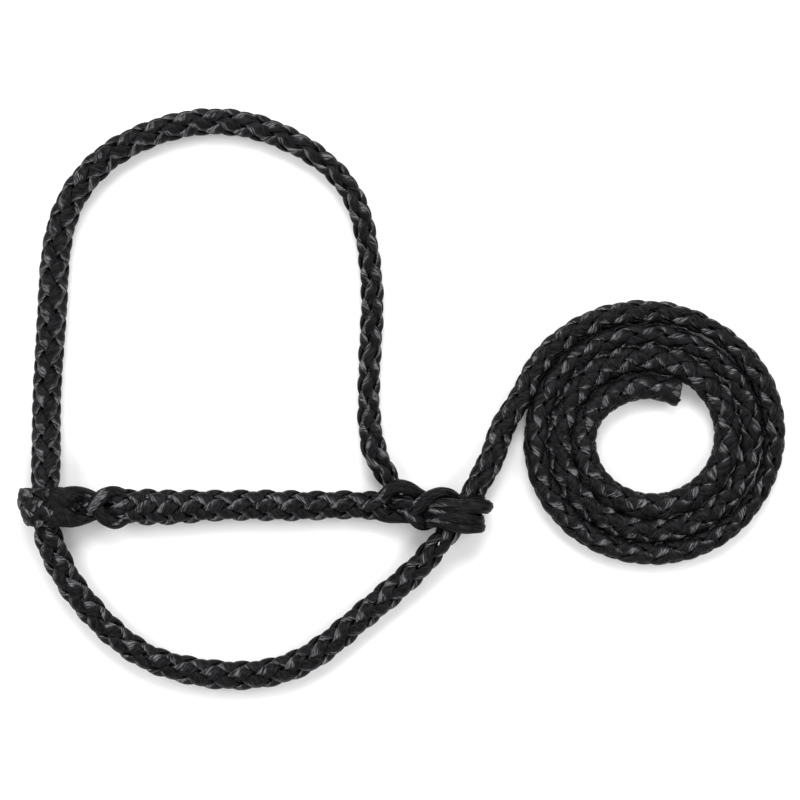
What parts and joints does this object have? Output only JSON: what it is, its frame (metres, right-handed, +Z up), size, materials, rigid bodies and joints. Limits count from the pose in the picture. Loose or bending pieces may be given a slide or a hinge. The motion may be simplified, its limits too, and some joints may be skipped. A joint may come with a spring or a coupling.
{
  "type": "rope halter",
  "caption": "Adjustable braided rope halter laid flat: spliced noseband with an eye and a loop, head loop, chin stretch and a coiled lead with a heat-sealed end.",
  "frame": {"origin": "on the surface the halter lies on, under the middle of the halter without its lead", "axes": "+Z up from the surface; +Y from the noseband towards the crown, in line with the head loop; +X along the noseband from its near-side eye to the loop that holds the lead"},
  "size_m": [0.3824, 0.2899, 0.025],
  "materials": {
    "braid": "black polypropylene braid with charcoal tracer yarns, low satin sheen",
    "strand": "opened black and charcoal strands of the same braid",
    "inner": "buried black polypropylene braid, matt",
    "melted": "melted and cooled polypropylene, slightly glossy"
  },
  "bodies": {
    "noseband": {"noseband_rope": "braid", "buried_tail": "inner", "tail_seal": "melted", "left_eye": "braid", "left_eye_rope": "braid", "left_front_strands_upper": "strand", "left_front_strands_lower": "strand", "left_back_core": "braid", "left_back_strands_upper": "strand", "left_back_strands_lower": "strand", "left_front_core": "braid", "right_front_strands_upper": "strand", "right_front_strands_lower": "strand", "right_crown_core": "braid", "right_back_strands_upper": "strand", "right_back_strands_lower": "strand", "right_front_core": "braid", "right_loop": "braid"},
    "crown": {"crown_rope": "braid"},
    "chin": {"chin_rope": "braid"},
    "lead_in_loop": {"right_loop_rope": "braid", "lead_neck": "braid"},
    "lead": {"lead_rope": "braid", "lead_coil": "braid", "lead_tail": "braid", "lead_end": "melted"}
  },
  "joints": [
    {"name": "crown_lift", "type": "hinge", "parent": "noseband", "child": "crown", "pos_m": [0, -0.043, 0.0186], "axis": [1, 0, 0], "range_deg": [0, 90]},
    {"name": "chin_lift", "type": "hinge", "parent": "noseband", "child": "chin", "pos_m": [0, -0.0664, 0.0186], "axis": [-1, 0, 0], "range_deg": [0, 90]},
    {"name": "lead_draw", "type": "slide", "parent": "noseband", "child": "lead_in_loop", "axis": [0.5105, 0.8599, 0], "range_m": [0, 0.015]},
    {"name": "lead_swing", "type": "hinge", "parent": "lead_in_loop", "child": "lead", "pos_m": [0.1122, -0.0395, 0.0115], "axis": [0, 0, 1], "range_deg": [-60, 60]}
  ]
}
